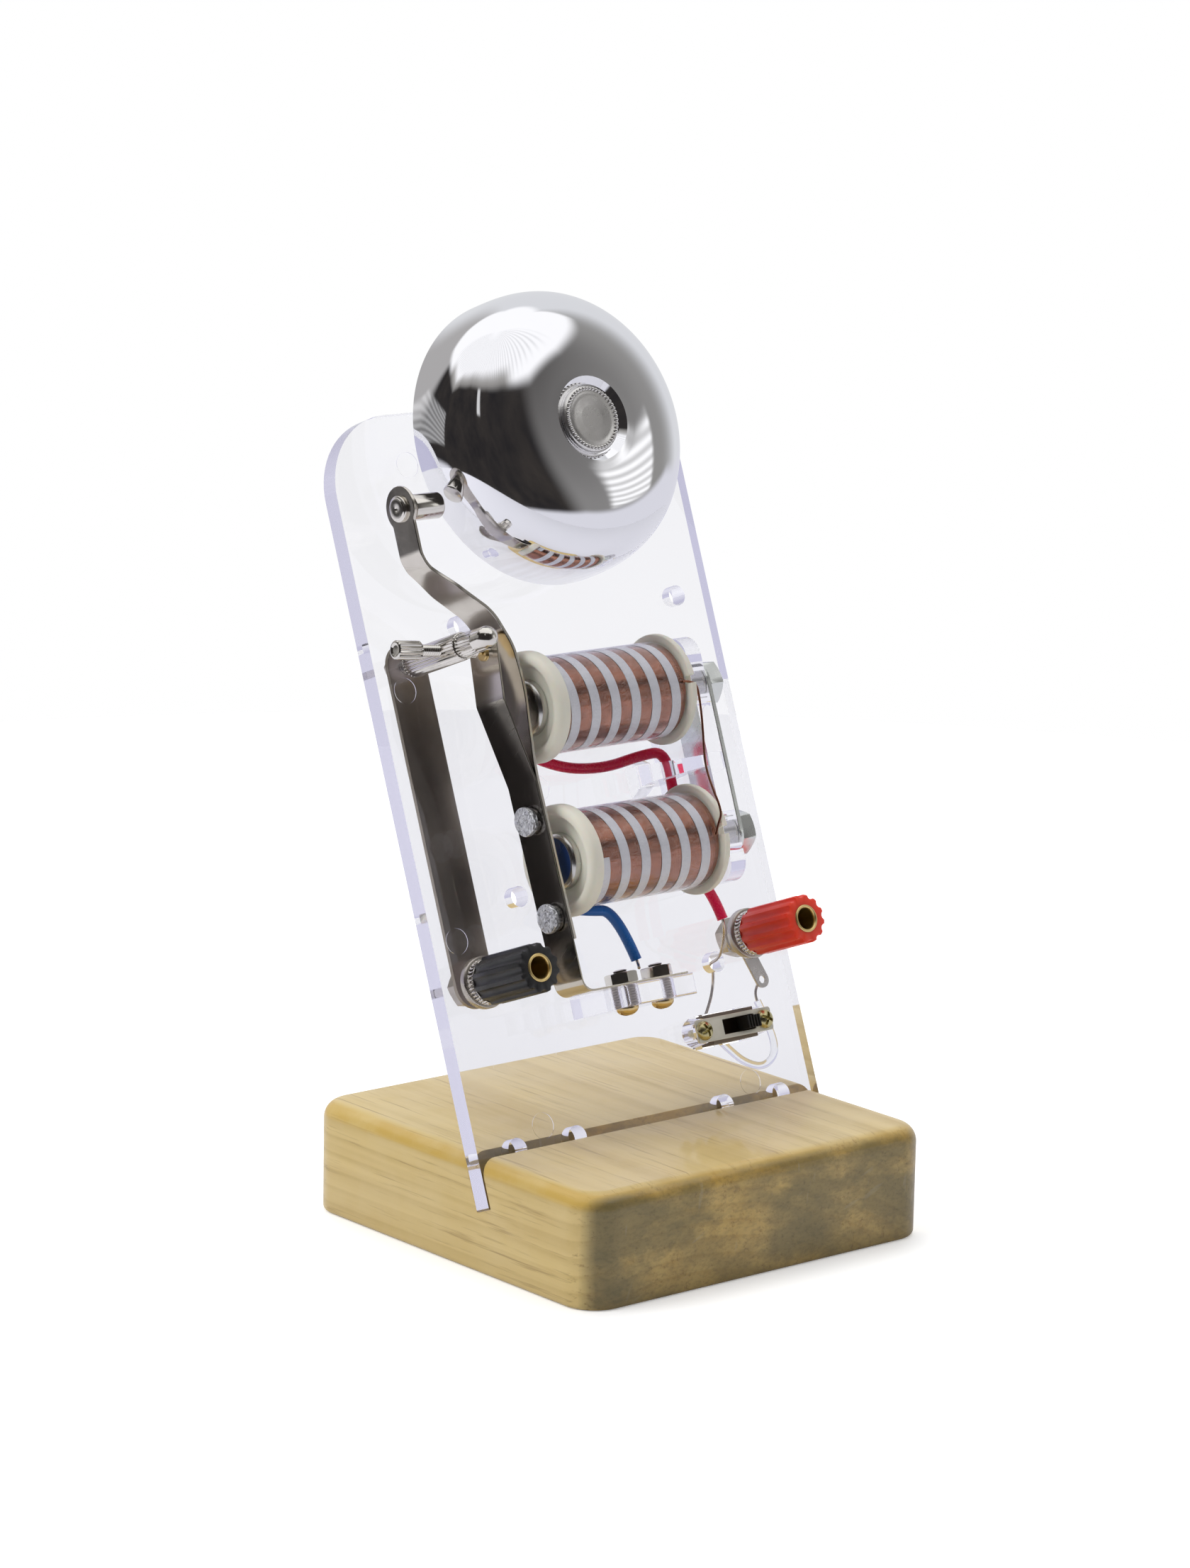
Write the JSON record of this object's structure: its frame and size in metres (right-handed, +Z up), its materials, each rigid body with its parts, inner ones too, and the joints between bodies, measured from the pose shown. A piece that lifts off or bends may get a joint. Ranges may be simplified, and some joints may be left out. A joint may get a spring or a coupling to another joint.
{
  "type": "electric bell demonstrator",
  "caption": "Classroom electric bell: clear panel on a wooden base with gong, twin coils, sprung hammer arm, contact screw, socket terminals and a slide switch.",
  "frame": {"origin": "middle of the wooden base's underside", "axes": "+X to the right along the panel's slot as seen from the front, +Y to the back, +Z up"},
  "size_m": [0.0881, 0.0867, 0.1767],
  "materials": {
    "wood": "clear varnish over pale open-grained wood",
    "clear_plastic": "clear polished moulding, faint lavender at its edges",
    "gong_chrome": "bright plated, mirror polished",
    "satin_chrome": "satin plated",
    "nickel": "bright nickel plate with a faint drawn grain",
    "zinc": "bluish zinc plate",
    "steel": "bright steel",
    "brass": "bright turned brass",
    "copper": "enamelled copper wire, glossy",
    "ivory_plastic": "semi-matt ivory moulding",
    "clear_tape": "clear glossy tape with a pale ribbon",
    "black_plastic": "semi-gloss black moulding",
    "red_plastic": "semi-gloss orange-red moulding",
    "red_sleeve": "smooth soft red sleeve",
    "blue_sleeve": "smooth soft blue sleeve",
    "clear_sleeve": "clear soft insulation"
  },
  "bodies": {
    "stand": {"wooden_base": "wood", "clear_panel": "clear_plastic", "bell_gong": "gong_chrome", "gong_post": "steel", "gong_cap": "satin_chrome", "gong_screw": "nickel", "upper_bobbin": "ivory_plastic", "upper_winding": "copper", "upper_tape": "clear_tape", "upper_core": "steel", "lower_bobbin": "ivory_plastic", "lower_winding": "copper", "lower_tape": "clear_tape", "lower_core": "steel", "yoke_plate": "nickel", "yoke_bolts": "zinc", "spring_foot": "nickel", "contact_post": "nickel", "rear_strip": "nickel", "post_nut": "nickel", "black_terminal_nut": "nickel", "red_terminal_nut": "nickel", "solder_lug": "nickel", "black_terminal_washer": "nickel", "black_terminal_stud": "nickel", "red_terminal_washer": "nickel", "red_terminal_stud": "nickel", "terminal_screws": "brass", "terminal_nuts": "nickel", "switch_frame": "nickel", "switch_body": "black_plastic", "switch_terminals": "nickel", "switch_screws": "brass", "red_sleeve": "red_sleeve", "red_lead": "copper", "blue_sleeve": "blue_sleeve", "blue_lead": "copper", "coil_link_wire": "copper", "clear_wire": "clear_sleeve", "clear_wire_core": "copper"},
    "armature": {"hammer_arm": "nickel", "contact_spring": "nickel", "armature_rivets": "steel", "contact_tip": "brass", "clapper": "steel"},
    "slider": {"switch_slider": "black_plastic"},
    "contact_adjuster": {"contact_screw": "brass"},
    "post_clamp": {"post_cap": "nickel"},
    "black_head": {"black_terminal_cap": "black_plastic", "black_socket": "brass"},
    "red_head": {"red_terminal_cap": "red_plastic", "red_socket": "brass"}
  },
  "joints": [
    {"name": "armature_swing", "type": "hinge", "parent": "stand", "child": "armature", "pos_m": [-0.02189, -0.00948, 0.05503], "axis": [0, 0.9336, -0.3584], "range_deg": [0, 1], "stiffness_Nm_per_rad": 0.3, "springref_deg": -1.72},
    {"name": "switch_slide", "type": "slide", "parent": "stand", "child": "slider", "axis": [1, 0, 0], "range_m": [-0.0042, 0]},
    {"name": "contact_screw_travel", "type": "slide", "parent": "stand", "child": "contact_adjuster", "axis": [-0.9925, 0.0437, 0.1138], "range_m": [0, 0.003]},
    {"name": "post_cap_travel", "type": "slide", "parent": "stand", "child": "post_clamp", "axis": [0, -0.9336, 0.3584], "range_m": [0, 0.003]},
    {"name": "black_cap_travel", "type": "slide", "parent": "stand", "child": "black_head", "axis": [0, -0.9336, 0.3584], "range_m": [0, 0.003]},
    {"name": "red_cap_travel", "type": "slide", "parent": "stand", "child": "red_head", "axis": [0, -0.9336, 0.3584], "range_m": [0, 0.003]}
  ]
}
